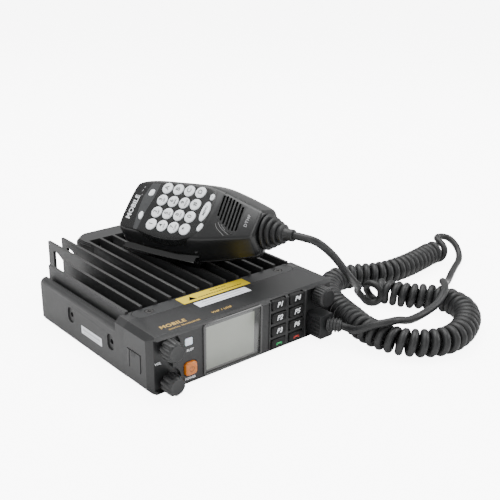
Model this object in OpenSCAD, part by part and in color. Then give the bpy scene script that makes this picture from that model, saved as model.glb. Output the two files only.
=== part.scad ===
// Mobile radio: finned main unit with a front panel, keypad hand microphone and curly cord.
// Millimetres, +Z up. Origin: centre of the main unit's underside. The front face looks along -Y.

/* [Main unit] */
// Width across the side walls
body_w = 140; // [136:1:144]
// Depth from the front face to the rear housing
body_d = 171; // [169:1:173]
// Height to the top of the fins
fin_top = 36.6; // [36.2:0.1:37]
// Depth of the front panel
head_d = 29; // [28.6:0.1:29.4]
// Height of the front panel
head_h = 35; // [34.9:0.1:35.2]
// Depth from the front face to the end of the side walls
side_d = 130; // [129:0.5:131]
// Height of the rounded shoulder outside the fins
shoulder_h = 29; // [28:0.5:30]

/* [Heat sink] */
// Thickness of a fin
fin_t = 2; // [1.6:0.1:2.2]
// Distance from one fin to the next
fin_pitch = 10.4; // [10.3:0.1:10.4]
// Top of the plate that the fins stand on
fin_floor = 20.5; // [20:0.5:21]
// Width of the rear housing
housing_w = 49.2; // [48:0.2:50]
// Chamfer on the rear housing's corners
housing_chamfer = 8; // [7:0.5:9]

/* [Controls] */
// Radius of the two fluted knobs
knob_r = 6; // [5.6:0.1:6.2]
// Radius of the ribbed right knob
dial_r = 6.6; // [6.2:0.1:6.8]
// How far a knob stands out of the front face
knob_out = 9; // [8:0.5:11]
// Width of a front key
key_w = 11.6; // [11:0.1:11.8]
// Height of a front key
key_h = 6.4; // [6:0.1:6.6]
// Travel of a front key
key_travel = 0.8; // [0.6:0.1:0.8]

/* [Hand microphone] */
// Distance from one dialling key to the next
dial_pitch = 9.25; // [9.2:0.05:9.3]
// Radius of a dialling key
dial_key_r = 4.1; // [3.8:0.1:4.1]
// Travel of a key on the microphone
dial_travel = 0.6; // [0.4:0.1:0.6]
// Depth of the front shell
mic_split = 14; // [13.5:0.5:14.5]
// Wall of the microphone's shells
mic_wall = 2.2; // [2:0.1:2.4]

/* [Cord] */
// Diameter of the cord
cord_d = 5; // [4.8:0.1:5]
// Outer diameter of the curly section
coil_d = 18; // [17:0.5:18]

/* [Hidden] */
$fn = 48;
side = body_w / 2;
y_front = -body_d / 2;
y_back = body_d / 2;
y_pocket = y_back - 17.5;
y_seam = y_front + head_d;
y_side = y_front + side_d;
wall = 4;
cover_t = 1.5;
plate_t = 3;
band_d = 9;
strip_t = 1.2;
strip_y = y_seam + 3.5;
strip_screw_x = 50;
boss_x = 60;
boss_y = [y_seam + 10, y_side - 16];
screw_r = 1.3;
fin_x0 = -6 * fin_pitch;
fan_size = 30;
fan_d = 10;
fan_z = cover_t + fan_size / 2 + 0.3;
fan_y = y_back - cover_t - 0.3 - fan_d / 2;
socket_x = 55.6;
socket_z = 10.5;
bracket_y = [y_front + 44, y_front + 91];
bracket_z = 16.8;
bracket_r = 1.65;
well = 2.2;
panel_t = 2.4;
knob_x = -59.8;
knob_z = [27.4, 6.8];
dial_x = 55.6;
dial_z = 27.6;
shaft_r = 3;
board_y = y_front + 9;
key_x = [21.9, 36.4];
key_z = [30.6, 21.8, 13, 4.4];
key_out = 1.2;
power_x = -44.9;
power_z = 10;
light_x = -45.7;
light_z = 26.8;
window_x = -13.7;
window_z = 18;
window_w = 42;
window_h = 31;
plug_x = 53.8;
plug_z = 9.5;
relief_at = [55, -95.1, 10.6];
relief_turn = 34;
relief_len = 9;
relief_end = relief_at + relief_len * [sin(relief_turn), -cos(relief_turn), 0];
latch_y = y_front + 19;
latch_z = 15.2;
speaker_at = [-28, -22];
cord_r = cord_d / 2;
coil_r = coil_d / 2;
panel_black = [0.1, 0.1, 0.11];
casting_black = [0.13, 0.13, 0.14];
cord_black = [0.16, 0.16, 0.17];

// The microphone's own frame: +X towards its cord, +Y across, +Z out of the keypad.
mic_at = [9.8, 3, 71];
mic_yaw = -74;
mic_rise = 4;
mic_roll = 45;
mic_x = [cos(mic_yaw) * cos(mic_rise), sin(mic_yaw) * cos(mic_rise), sin(mic_rise)];
mic_side = [-sin(mic_yaw), cos(mic_yaw), 0];
mic_y = mic_side * cos(mic_roll) + cross(mic_x, mic_side) * sin(mic_roll);
mic_z = cross(mic_x, mic_y);
mic_mid = -1;
boot_n = -12;
sleeve_end = 85;
ptt_pivot = [24, -24.5];

// Where the cord runs: the lead from the microphone, the curly section and the lead to the plug.
lead_a = [
    mic_point(sleeve_end + 0.3, mic_mid, boot_n), mic_point(sleeve_end + 5, mic_mid, boot_n - 0.5),
    [48, -90, 65.5], [60, -92, 55], [71.5, -93, 41.5], [82.5, -89, 31.5], [92.8, -83.4, 24],
    [102, -77, 18], [108, -73.8, 12], [110.6, -75.4, 6.2], [113.9, -79.7, 3.2]];
coil = [
    [114, -79.5, 9], [119, -77, 9], [124.5, -80.5, 9], [128, -88.5, 9], [134, -97.5, 9],
    [142, -106.5, 9], [147.5, -117.5, 9], [145, -131.5, 9], [136, -142.5, 9], [122, -150.5, 9],
    [108, -154.5, 9], [95, -154, 9], [83, -147.5, 9], [74.5, -137, 9], [71, -124, 9],
    [71.5, -111, 9], [75.5, -97.5, 9], [80, -83, 9], [85, -70, 9], [93, -58.5, 9],
    [104, -49.5, 9], [117, -45.5, 9], [130, -49, 9], [142, -55.5, 9], [155, -59, 9],
    [169, -59.5, 9], [183, -58.5, 9], [197, -56.5, 9], [210, -54.5, 9], [223, -55, 9]];
lead_b = [
    relief_end, [61, -109, 10.8], [60, -117, 13.5], [64, -125, 18.5], [69.5, -131, 20.8],
    [77, -133, 20.8], [87, -132.5, 17.5], [98, -130, 15], [110, -129, 15.2], [122, -128, 17.2],
    [133, -124.5, 20], [143, -118, 20.8], [152, -109.5, 18.8], [163, -102, 13], [176, -95, 6.5],
    [188, -88.5, 3], [202, -81, 2.8], [215, -74.5, 2.8], [227, -69, 3.4], [235, -62, 6.5],
    [238, -55, 11.5], [234, -50.5, 15], [228, -52.5, 15.2], [223.1, -55, 14.6]];

front_keys = ["key_p1", "key_p2", "key_p3", "key_call", "key_p4", "key_p5", "key_p6", "key_end"];
dial_keys = ["dial_1", "dial_4", "dial_7", "dial_star", "dial_2", "dial_5", "dial_8", "dial_0",
    "dial_3", "dial_6", "dial_9", "dial_hash", "dial_a", "dial_b", "dial_c", "dial_d"];
// Each further key on the microphone: its name, place, width along and height across, and turn.
side_keys = [["mic_key_wide", 23.6, 0.8, 6, 13, 0], ["mic_key_upper", 24.4, 11.6, 3.6, 4.8, 0],
    ["mic_key_lower", 25.2, -10.6, 3.4, 6.4, -12], ["mic_key_lock", -25.2, 9, 3.6, 5, 0],
    ["mic_key_light", -25.8, -8.4, 3.6, 6, 0]];

function mic_point(along, across, out) = mic_at + along * mic_x + across * mic_y + out * mic_z;
function unit(v) = v / norm(v);

// ---- Shared shapes ----

// A flat shape drawn in X and Z, as thick as the way from y0 to y1.
module between_y(y0, y1) {
    translate([0, y1, 0]) rotate([90, 0, 0]) linear_extrude(y1 - y0) children();
}

// A flat shape drawn in Y and Z, as thick as the way from x0 to x1.
module between_x(x0, x1) {
    translate([x0, 0, 0]) rotate([90, 0, 90]) linear_extrude(x1 - x0) children();
}

module box(low, high) {
    translate(low) cube(high - low);
}

module round_rect(w, h, r) {
    square([w - 2 * r, h], center = true);
    square([w, h - 2 * r], center = true);
    for (x = [-1, 1], y = [-1, 1]) translate([x * (w / 2 - r), y * (h / 2 - r)]) circle(r = r);
}

module rod_y(x, z, r, y0, y1) {
    translate([x, y1, z]) rotate([90, 0, 0]) cylinder(r = r, h = y1 - y0);
}

module at_mic() {
    translate(mic_at) rotate([0, 0, mic_yaw]) rotate([0, -mic_rise, 0]) rotate([mic_roll, 0, 0])
        children();
}

module both_sides() {
    children();
    mirror([1, 0, 0]) children();
}

// A tube swept along points, closed at both ends.
module tube(points, r, sides) {
    last = len(points) - 1;
    rings = [for (i = [0 : last])
        let (t = unit(points[min(i + 1, last)] - points[max(i - 1, 0)]),
            a = unit(cross(t, [0, 0, 1])), b = cross(a, t))
        [for (k = [0 : sides - 1]) points[i] + r * (cos(360 * k / sides) * a + sin(360 * k / sides) * b)]];
    walls = [for (i = [0 : last - 1], k = [0 : sides - 1])
        let (n = (k + 1) % sides)
        each [[i * sides + k, i * sides + n, (i + 1) * sides + n],
            [i * sides + k, (i + 1) * sides + n, (i + 1) * sides + k]]];
    ends = [for (k = [1 : sides - 2])
        each [[0, k + 1, k], [last * sides, last * sides + k, last * sides + k + 1]]];
    polyhedron(points = [for (ring = rings) each ring], faces = concat(walls, ends), convexity = 8);
}

// ---- Main unit ----

module head_outline() {
    c = 3.2;
    polygon([[-side, c / 2], [-side + c / 2, 0], [side - c / 2, 0], [side, c / 2],
        [side, head_h - c], [side - c, head_h], [-side + c, head_h], [-side, head_h - c]]);
}

// Side wall seen from the front: rounded shoulder outside, shallow channel beside the first fin.
module wall_outline() {
    r = 4;
    translate([-side, 0]) {
        polygon([[0, 2], [1.2, 0], [wall, 0], [wall, fin_floor], [8, fin_floor], [8, shoulder_h - 3.5],
            [4.8, shoulder_h - 3.5], [4.8, shoulder_h], [r, shoulder_h], [0, shoulder_h - r]]);
        intersection() {
            translate([r, shoulder_h - r]) circle(r = r);
            translate([0, shoulder_h - r]) square([r, r]);
        }
    }
}

module fins() {
    for (i = [0 : 12]) {
        // The outer pairs end with the side walls. The next pairs reach the rear, and the rest
        // run onto the fan housing.
        outer = i < 2 || i > 10;
        free = !outer && (i < 4 || i > 8);
        y_end = outer || free ? y_side : y_pocket;
        translate([fin_x0 + i * fin_pitch - fin_t / 2, 0, 0]) {
            box([0, y_seam + band_d - 1, fin_floor - 0.5], [fin_t, y_end, fin_top]);
            if (free) fin_tail();
        }
    }
}

// The part of a long fin behind the side walls, with its arched window.
module fin_tail() {
    between_x(0, fin_t) difference() {
        polygon([[y_side - 3, 12], [y_back, 12], [y_back, fin_top], [y_side - 3, fin_top]]);
        polygon([[y_back - 25.5, 16], [y_back - 7.3, 16], [y_back - 7.3, 31], [y_back - 10, 31.8],
            [y_back - 15.3, 30.6], [y_back - 20.7, 28], [y_back - 24, 25], [y_back - 25.5, 21]]);
    }
}

// Rear housing from above, less e all round its outer side. It widens from the fins it grows from.
module housing_outline(e = 0) {
    h = housing_w / 2 - e;
    n = housing_w / 2 - 2.8 - e;
    c = housing_chamfer;
    polygon([[-n, y_side - 3], [n, y_side - 3], [n, y_pocket - 10], [h, y_pocket], [h, y_back - c],
        [h - c, y_back - e], [c - h, y_back - e], [-h, y_back - c], [-h, y_pocket], [-n, y_pocket - 10]]);
}

module rear_housing() {
    inner = fin_pitch * 2 - fin_t / 2;
    difference() {
        union() {
            linear_extrude(fin_top - 1.6) housing_outline();
            linear_extrude(fin_top - 0.8) housing_outline(0.8);
            linear_extrude(fin_top) housing_outline(1.6);
        }
        box([-inner, y_side - 4, cover_t], [inner, y_pocket, fin_top + 1]);
    }
    box([-inner - 0.1, y_side - 4, fin_floor - plate_t], [inner + 0.1, y_pocket + 0.1, fin_floor]);
}

module fan_opening() {
    p = fan_size / 2 + 0.3;
    box([-p, y_pocket - 1, fan_z - p], [p, y_back - cover_t, fan_z + p]);
    between_y(y_back - 2, y_back + 1) translate([0, fan_z]) difference() {
        circle(r = 14);
        for (r = [4.5, 9.2]) difference() {
            circle(r = r + 0.6);
            circle(r = r - 0.6);
        }
        for (a = [45, 135]) rotate(a) square([28, 1.6], center = true);
    }
}

module side_hole(y) {
    between_x(-side - 1, -side + 1) translate([y, bracket_z]) round_rect(7, 10, 3);
    translate([-side - 1, y, bracket_z]) rotate([0, 90, 0]) cylinder(r = bracket_r, h = 8);
}

module chassis() {
    color(casting_black) difference() {
        union() {
            both_sides() between_y(y_seam, y_side) wall_outline();
            box([-side + wall, y_seam, fin_floor - plate_t], [side - wall, y_side, fin_floor]);
            box([-side + wall, y_seam, 0], [side - wall, y_seam + 3, fin_floor]);
            box([-side + wall, y_side - 3, 0], [side - wall, y_side, fin_floor]);
            between_y(y_seam, y_seam + band_d) intersection() {
                head_outline();
                translate([-side, fin_floor - plate_t]) square([body_w, head_h]);
            }
            fins();
            rear_housing();
            for (x = [-boss_x, boss_x], y = boss_y) translate([x, y, cover_t]) cylinder(r = 3.4, h = 17);
            both_sides() for (y = bracket_y) box([-side + 3, y - 4, 12], [-side + 6, y + 4, fin_floor]);
        }
        fan_opening();
        box([-20, y_side - 5, 3], [20, y_side + 1, 15]);
        box([-22, y_seam - 1, 5], [22, y_seam + 4, 13]);
        both_sides() for (y = bracket_y) side_hole(y);
        for (x = [-boss_x, boss_x], y = boss_y) translate([x, y, 1]) cylinder(r = screw_r + 0.05, h = 8);
        for (x = [-1, 1]) translate([x * strip_screw_x, strip_y, 24]) cylinder(r = screw_r + 0.05, h = 12);
        translate([0, strip_y, head_h - strip_t]) linear_extrude(5) round_rect(122.5, 11.5, 5.7);
        rod_y(socket_x, socket_z, 7.1, y_side - 4, y_side + 1);
        between_y(y_side - 4, y_side + 1) translate([-socket_x, socket_z]) square([12.2, 8.2], center = true);
    }
}

module bottom_cover() {
    color([0.2, 0.2, 0.21]) difference() {
        box([-side + wall + 0.1, y_seam + 3.1, 0], [side - wall - 0.1, y_side - 3.1, cover_t]);
        for (x = [-boss_x, boss_x], y = boss_y) translate([x, y, 0]) {
            translate([0, 0, -1]) cylinder(r = 2.9, h = 1.9);
            translate([0, 0, -1]) cylinder(r = 1.5, h = 4);
        }
        for (i = [-4 : 4]) translate([speaker_at[0], speaker_at[1] + 3.6 * i, -1])
            linear_extrude(4) square([2 * round(sqrt(289 - 12.96 * i * i)), 1.6], center = true);
    }
}

module panel_strip() {
    color(panel_black) difference() {
        translate([0, strip_y, head_h - strip_t]) linear_extrude(strip_t) round_rect(122, 11, 5.4);
        for (x = [-1, 1]) translate([x * strip_screw_x, strip_y, head_h - strip_t - 1]) {
            cylinder(r = 1.5, h = 4);
            translate([0, 0, 1.3]) cylinder(r = 2.9, h = 3);
        }
    }
}

// Pan-head screws in the cover and in the strip, all of one thread.
module case_screws() {
    color([0.25, 0.25, 0.26]) {
        for (x = [-boss_x, boss_x], y = boss_y) translate([x, y, 0.1]) difference() {
            union() {
                cylinder(r = 2.6, h = 0.8);
                cylinder(r = screw_r, h = 7.4);
            }
            for (a = [0, 90]) rotate(a) cube([2.6, 0.6, 1.2], center = true);
        }
        for (x = [-1, 1]) translate([x * strip_screw_x, strip_y, head_h - strip_t + 0.35]) difference() {
            union() {
                cylinder(r = 2.6, h = 0.8);
                translate([0, 0, -8]) cylinder(r = screw_r, h = 8.1);
            }
            for (a = [0, 90]) rotate(a) translate([0, 0, 0.8]) cube([2.8, 0.6, 1], center = true);
        }
    }
}

// ---- Front panel ----

module head_plan() {
    polygon([[-side, y_seam], [-side, y_front + 7], [-side + 3.2, y_front], [side - 3.2, y_front],
        [side, y_front + 7], [side, y_seam]]);
}

module head_profile() {
    polygon([[y_front, 1], [y_front + 1, 0], [y_seam, 0], [y_seam, head_h], [y_front + 2.5, head_h],
        [y_front, head_h - 2]]);
}

module front_keys_at() {
    for (c = [0, 1], r = [0 : 3]) translate([key_x[c], 0, key_z[r]]) children();
}

module knob_wells() {
    between_y(y_front - 1, y_front + well) {
        intersection() {
            union() {
                for (z = knob_z) translate([knob_x, z]) circle(r = 8.4);
                translate([-side, 2]) square([side + knob_x + 3, head_h - 4]);
            }
            translate([-side + 1.8, 1.4]) square([24, head_h - 3.4]);
        }
        translate([45.6, 1.4]) square([22.6, head_h - 3.4]);
    }
}

module front_panel() {
    inside = y_front + panel_t;
    color(panel_black) difference() {
        intersection() {
            between_y(y_front, y_seam) head_outline();
            linear_extrude(head_h) head_plan();
            between_x(-side, side) head_profile();
        }
        knob_wells();
        box([-side + 2.5, y_front + 4.9, 2], [side - 2.5, y_seam + 1, head_h - 2]);
        box([-52, inside, 2], [-38, y_seam, head_h - 2]);
        box([-36, inside, 2], [9, y_seam, head_h - 1.6]);
        between_y(y_front - 1, inside + 1) translate([window_x, window_z])
            round_rect(window_w + 0.2, window_h + 0.2, 1.6);
        front_keys_at() {
            between_y(y_front - 1, y_front + 5) square([key_w + 0.6, key_h + 0.6], center = true);
            between_y(inside, y_front + 5) square([key_w + 2.4, key_h + 0.6], center = true);
        }
        between_y(y_front - 1, y_front + 5) {
            translate([power_x, power_z]) round_rect(9, 9, 2.4);
            translate([light_x, light_z]) round_rect(5.4, 4.8, 1);
            translate([plug_x, plug_z]) square([10.4, 8], center = true);
        }
        for (z = knob_z) rod_y(knob_x, z, 3.6, y_front, y_front + 5);
        rod_y(dial_x, dial_z, 3.6, y_front, y_front + 5);
        between_x(-side - 1, -side + 3) translate([latch_y, latch_z]) square([14, 11.6], center = true);
        translate([0, strip_y, head_h - strip_t]) linear_extrude(5) round_rect(122.5, 11.5, 5.7);
    }
}

module display_lens() {
    color([0.62, 0.65, 0.62]) between_y(y_front - 0.4, y_front + 0.9)
        translate([window_x, window_z]) round_rect(window_w, window_h, 1.5);
}

module lcd_module() {
    color([0.5, 0.53, 0.5]) {
        between_y(y_front + 1, y_front + 2.6) translate([window_x, window_z])
            round_rect(window_w - 0.2, window_h - 0.2, 1.5);
        box([-35.6, y_front + 2.5, 2.4], [8.6, y_front + 4, head_h - 2.4]);
        box([-34, y_front + 3.9, 4], [7, y_front + 8.8, 6]);
    }
}

module indicator_lens() {
    color([0.85, 0.86, 0.9]) {
        between_y(y_front - 0.2, y_front + 5) translate([light_x, light_z]) round_rect(5.2, 4.6, 0.9);
        between_y(y_front + 5, y_front + 8.8) translate([light_x, light_z]) square([2, 2], center = true);
    }
}

module power_button() {
    color([0.95, 0.55, 0.1]) {
        between_y(y_front - 1.6, y_front + 3.4) translate([power_x, power_z]) round_rect(8.4, 8.4, 2.1);
        between_y(y_front + 2.7, y_front + 3.4) translate([power_x, power_z])
            square([10.4, 8.4], center = true);
    }
}

// A front key: the cap and two ears that stop it behind the panel.
module front_key(i) {
    translate([key_x[floor(i / 4)], 0, key_z[i % 4]]) color([0.17, 0.17, 0.18]) {
        between_y(y_front - key_out, y_front + 3.6) round_rect(key_w, key_h, 1);
        between_y(y_front + 2.7, y_front + 3.6) square([key_w + 1.8, key_h], center = true);
    }
}

// A knob on its shaft, which turns in the bushing behind the panel.
module knob(x, z, r, ribs, rib_r) {
    color(panel_black) {
        between_y(y_front - knob_out, y_front - 0.4) translate([x, z]) difference() {
            circle(r = r);
            for (i = [0 : ribs - 1]) rotate(360 * i / ribs) translate([r + rib_r * 0.45, 0])
                circle(r = rib_r);
        }
        rod_y(x, z, shaft_r, y_front - 2, y_front + 8.3);
    }
}

module encoder(x, z) {
    difference() {
        union() {
            box([x - 5, y_front + 5, z - 4.6], [x + 5, board_y, z + 4.6]);
            rod_y(x, z, 3.5, y_front + 2.6, y_front + 5.1);
        }
        rod_y(x, z, shaft_r + 0.05, y_front + 2, y_front + 8.6);
    }
}

module control_board() {
    color([0.1, 0.3, 0.16]) {
        difference() {
            box([-63, board_y, 2.4], [63, board_y + 1.6, head_h - 2.6]);
            for (x = [-1, 1]) rod_y(x * 20, 28, 1.3, board_y - 1, board_y + 3);
        }
        encoder(knob_x, knob_z[0]);
        encoder(knob_x, knob_z[1]);
        encoder(dial_x, dial_z);
        front_keys_at() rod_y(0, 0, 1.6, y_front + 4.9, board_y);
        rod_y(power_x, power_z, 1.8, y_front + 4.9, board_y);
        difference() {
            box([plug_x - 6.6, y_front + 5, 3], [plug_x + 6.6, board_y, 16]);
            between_y(y_front + 4, y_front + 8) translate([plug_x, plug_z]) square([10, 7.6], center = true);
        }
        box([-20, board_y + 1.6, 5.5], [20, board_y + 5, 12.5]);
    }
}

// ---- Inside the main unit ----

module main_board() {
    color([0.1, 0.32, 0.17]) {
        box([-54, y_seam + 6, 11], [54, y_side - 6, 12.6]);
        box([-50, -8, 12.6], [-18, 26, 16.4]);
        box([-12, -14, 12.6], [22, 18, 16.4]);
        box([28, -6, 12.6], [50, 30, 17.4]);
        for (i = [0 : 3]) translate([-44 + 11 * i, -34, 7]) cylinder(r = 4, h = 4);
        box([-20, y_seam + 6, 6], [20, y_seam + 12, 11]);
        box([28, 10, 5], [44, 30, 11]);
        for (x = [-50, 50], y = [-46, 34]) translate([x, y, 12.5])
            cylinder(r = 2.5, h = fin_floor - plate_t - 12.5);
    }
}

module fan_frame() {
    half = fan_size / 2;
    color([0.08, 0.08, 0.09]) translate([0, fan_y, fan_z]) {
        difference() {
            between_y(-fan_d / 2, fan_d / 2) round_rect(fan_size, fan_size, 2.5);
            rod_y(0, 0, 14, -fan_d, fan_d);
            for (x = [-12.2, 12.2], z = [-12.2, 12.2]) rod_y(x, z, 1.2, -fan_d, fan_d);
        }
        intersection() {
            between_y(-fan_d / 2, -fan_d / 2 + 1.2) {
                circle(r = 6);
                for (a = [0, 120, 240]) rotate(a) translate([0, -1]) square([half, 2]);
            }
            rod_y(0, 0, 14.2, -fan_d, fan_d);
        }
        rod_y(0, 0, 1.5, -fan_d / 2, fan_d / 2 - 1.5);
    }
}

module fan_rotor() {
    color([0.12, 0.12, 0.13]) translate([0, fan_y, fan_z]) difference() {
        union() {
            rod_y(0, 0, 6.4, -fan_d / 2 + 1.6, fan_d / 2 - 0.6);
            for (i = [0 : 6]) rotate([0, 360 * i / 7, 0]) translate([5.6, 0, 0]) rotate([38, 0, 0])
                translate([0, -3.6, -0.5]) cube([7.6, 7.2, 1]);
        }
        rod_y(0, 0, 1.55, -fan_d, fan_d / 2 - 1.2);
    }
}

module antenna_socket() {
    color([0.75, 0.76, 0.78]) {
        difference() {
            union() {
                rod_y(socket_x, socket_z, 7, y_side - 5, y_side + 1);
                rod_y(socket_x, socket_z, 9.2, y_side + 0.1, y_side + 2.4);
                rod_y(socket_x, socket_z, 7.94, y_side + 2, y_side + 16);
            }
            rod_y(socket_x, socket_z, 6.1, y_side + 6, y_side + 17);
        }
        difference() {
            rod_y(socket_x, socket_z, 3, y_side + 5, y_side + 14);
            rod_y(socket_x, socket_z, 2.05, y_side + 7, y_side + 15);
        }
    }
}

module dc_inlet() {
    color([0.75, 0.73, 0.68]) {
        difference() {
            between_y(y_side - 5, y_side + 3) translate([-socket_x, socket_z]) square([12, 8], center = true);
            between_y(y_side - 4, y_side + 4) translate([-socket_x, socket_z])
                square([9.6, 5.6], center = true);
        }
        for (x = [-2.4, 2.4]) rod_y(x - socket_x, socket_z, 1.2, y_side - 5, y_side + 1);
    }
}

module speaker() {
    color([0.15, 0.15, 0.16]) translate([speaker_at[0], speaker_at[1], cover_t]) difference() {
        union() {
            cylinder(r = 18, h = 2);
            translate([0, 0, 2]) cylinder(r1 = 17, r2 = 9, h = 3);
            translate([0, 0, 4.5]) cylinder(r = 8, h = 3.5);
        }
        translate([0, 0, -0.1]) cylinder(r1 = 15.5, r2 = 6, h = 3.6);
    }
}

module release_latch() {
    color(panel_black) {
        between_x(-side - 0.3, -side + 3.4) translate([latch_y, latch_z]) difference() {
            round_rect(13.4, 11, 0.8);
            translate([4.2, 0.6]) square([0.7, 20], center = true);
        }
        between_x(-side + 2.8, -side + 3.8) translate([latch_y, latch_z]) square([16, 13], center = true);
    }
}

module mic_plug() {
    color(cord_black) {
        between_y(y_front - 10, y_front + well - 0.1) translate([plug_x, plug_z]) round_rect(11.5, 15.6, 1.2);
        between_y(y_front + well - 0.2, y_front + 7.6) translate([plug_x, plug_z])
            square([9.6, 7], center = true);
        translate(relief_at) rotate([90, 0, relief_turn]) cylinder(r1 = 4, r2 = 3.5, h = relief_len);
    }
}

// ---- Hand microphone ----

// Posts whose hull is a shell: each row is the distance along and half the width across.
module shell_posts(rows, r, low, high) {
    for (p = rows, s = [-1, 1]) translate([p[0], mic_mid + s * (p[1] - r), low])
        cylinder(r = r, h = high - low, $fn = 24);
}

face_rows = [[-36.5, 17.7], [-10, 19.6], [19.5, 20.4], [60, 10.8]];
split_rows = [[-35, 24.5], [-12, 28], [20, 27.5], [58, 17.5]];
waist_rows = [[-32, 17], [-8, 20], [20, 20], [56, 12]];
back_rows = [[-26, 10.5], [-6, 12], [20, 12], [50, 8]];

module mic_front_solid(inset) {
    hull() {
        shell_posts([for (p = face_rows) p - [0, inset]], 4 - inset / 2, -1.5 - inset, -inset);
        shell_posts([for (p = split_rows) p - [0, inset]], 8 - inset, -mic_split - (inset > 0 ? 1 : 0),
            -mic_split + 1.5);
    }
}

module mic_back_solid(inset) {
    hull() {
        shell_posts([for (p = split_rows) p - [0, inset]], 8 - inset, -mic_split - 1.2,
            -mic_split + (inset > 0 ? 1 : -0.1));
        shell_posts([for (p = waist_rows) p - [0, inset]], 6 - inset, -26, -24);
        shell_posts([for (p = back_rows) p - [0, inset]], 4 - inset / 2, -33.5 + inset, -32 + inset);
    }
}

module dial_place(i) {
    translate([dial_pitch * (i % 4 - 1.5), dial_pitch * (floor(i / 4) - 1.5), 0]) children();
}

module side_key_outline(k, grow) {
    translate([k[1], k[2]]) rotate(k[5])
        round_rect(k[3] + grow, k[4] + grow, min(k[3], k[4]) / 2 + grow / 2 - 0.01);
}

// The space on the near side that the push-to-talk bar moves in, for both shells.
module ptt_slot() {
    box([-40.5, -40, -18.4], [29, -23, -9.2]);
    box([18, -26, -18.4], [29, -20.5, -9.2]);
}

module mic_front() {
    color(panel_black) at_mic() difference() {
        union() {
            difference() {
                mic_front_solid(0);
                mic_front_solid(mic_wall);
            }
            intersection() {
                mic_front_solid(0);
                box([17, -27.5, -9.2], [30, -19.5, -5.5]);
            }
            for (x = [-30, 46]) translate([x, mic_mid, -mic_split]) cylinder(r = 3, h = 13);
        }
        for (i = [0 : 15]) dial_place(i) translate([0, 0, -4]) cylinder(r = dial_key_r + 0.3, h = 6);
        for (k = side_keys) translate([0, 0, -4]) linear_extrude(6) side_key_outline(k, 0.6);
        for (i = [0 : 6]) translate([33 + 2.9 * i, 13 - 1.1 * i, -4]) rotate(4)
            translate([-0.8, -17, 0]) cube([1.6, 17, 6]);
        for (x = [-30, 46]) translate([x, mic_mid, -mic_split - 1]) cylinder(r = 1.15, h = 9);
        ptt_slot();
        translate([ptt_pivot[0], ptt_pivot[1], -9.4]) cylinder(r = 1.26, h = 2.4);
        translate([56, mic_mid, boot_n]) rotate([0, 90, 0]) cylinder(r = 5.6, h = 20);
    }
}

module mic_back() {
    color(panel_black) at_mic() difference() {
        union() {
            difference() {
                mic_back_solid(0);
                mic_back_solid(mic_wall);
            }
            intersection() {
                mic_back_solid(0);
                box([17, -27.5, -22], [30, -19.5, -18.4]);
            }
            for (x = [-30, 46]) translate([x, mic_mid, x < 0 ? -29 : -32])
                cylinder(r = 3, h = x < 0 ? 14.9 : 17.9);
        }
        for (x = [-30, 46]) translate([x, mic_mid, -40]) {
            cylinder(r = 1.3, h = 30);
            cylinder(r = 2.6, h = 16);
        }
        ptt_slot();
        translate([ptt_pivot[0], ptt_pivot[1], -20.6]) cylinder(r = 1.26, h = 2.4);
        translate([56, mic_mid, boot_n]) rotate([0, 90, 0]) cylinder(r = 5.6, h = 20);
        translate([-2, mic_mid, -36]) cylinder(r = 2.1, h = 6);
    }
}

// The push-to-talk bar turns a little on a short pin near the cord end.
module ptt_bar() {
    color([0.07, 0.07, 0.08]) at_mic() {
        hull() {
            for (p = [[-36, -26.5, -15.8], [-36, -27.4, -15.2], [-8, -29, -16.8], [22, -26.5, -17.6],
                [22, -30, -17.6]])
                translate(p) cylinder(r = 1.5, h = -10 - p[2], $fn = 24);
        }
        translate([ptt_pivot[0], ptt_pivot[1], -17.6]) cylinder(r = 3, h = 7.6);
        translate([ptt_pivot[0], ptt_pivot[1], -20.2]) cylinder(r = 1.2, h = 12.8);
    }
}

module mic_boot() {
    rings = [[67.4, 11.4], [70.8, 9.6], [74.2, 7.8], [77.6, 6.2]];
    color(cord_black) at_mic() translate([0, mic_mid, boot_n]) {
        translate([60, 0, 0]) rotate([0, 90, 0]) cylinder(r = 5.5, h = 7);
        translate([66.3, 0, 0]) rotate([0, 90, 0]) cylinder(r1 = 9, r2 = 4, h = 13);
        for (k = rings) translate([k[0] - 1, 0, 0]) rotate([0, 90, 0]) cylinder(r = k[1], h = 2);
        translate([78, 0, 0]) rotate([0, 90, 0]) cylinder(r = 3.8, h = sleeve_end - 78);
    }
}

module hang_stud() {
    color([0.6, 0.6, 0.62]) at_mic() translate([-2, mic_mid, 0]) {
        translate([0, 0, -38.6]) cylinder(r = 3.5, h = 5);
        translate([0, 0, -41]) cylinder(r = 5.5, h = 2.5);
        translate([0, 0, -36]) cylinder(r = 2, h = 5.5);
    }
}

module mic_screws() {
    color([0.3, 0.3, 0.31]) at_mic() for (x = [-30, 46]) translate([x, mic_mid, -25.5]) difference() {
        union() {
            cylinder(r = 2.2, h = 1.4, $fn = 32);
            translate([0, 0, 1.3]) cylinder(r = 1.1, h = 16);
        }
        for (a = [0, 90]) rotate(a) cube([2.4, 0.6, 1.2], center = true);
    }
}

module mic_board() {
    color([0.1, 0.32, 0.17]) at_mic() {
        difference() {
            box([-26.5, mic_mid - 15.5, -7], [42, mic_mid + 15.5, -5.8]);
            box([-28, -12, -8], [-22.4, -4, -5]);
            box([-28, 5, -8], [-22.4, 12, -5]);
        }
        for (i = [0 : 15]) dial_place(i) translate([0, 0, -5.9]) cylinder(r = 2, h = 1.5);
        translate([55, 0, -7.4]) cylinder(r = 4, h = 5);
    }
}

module dial_key(i) {
    color([0.92, 0.93, 0.95]) at_mic() dial_place(i) {
        translate([0, 0, -3.3]) cylinder(r = dial_key_r, h = 4.2);
    }
}

module side_key(k) {
    color([0.92, 0.93, 0.95]) at_mic() translate([0, 0, -3.3]) linear_extrude(4.2) side_key_outline(k, 0);
}

// ---- Cord ----

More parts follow.
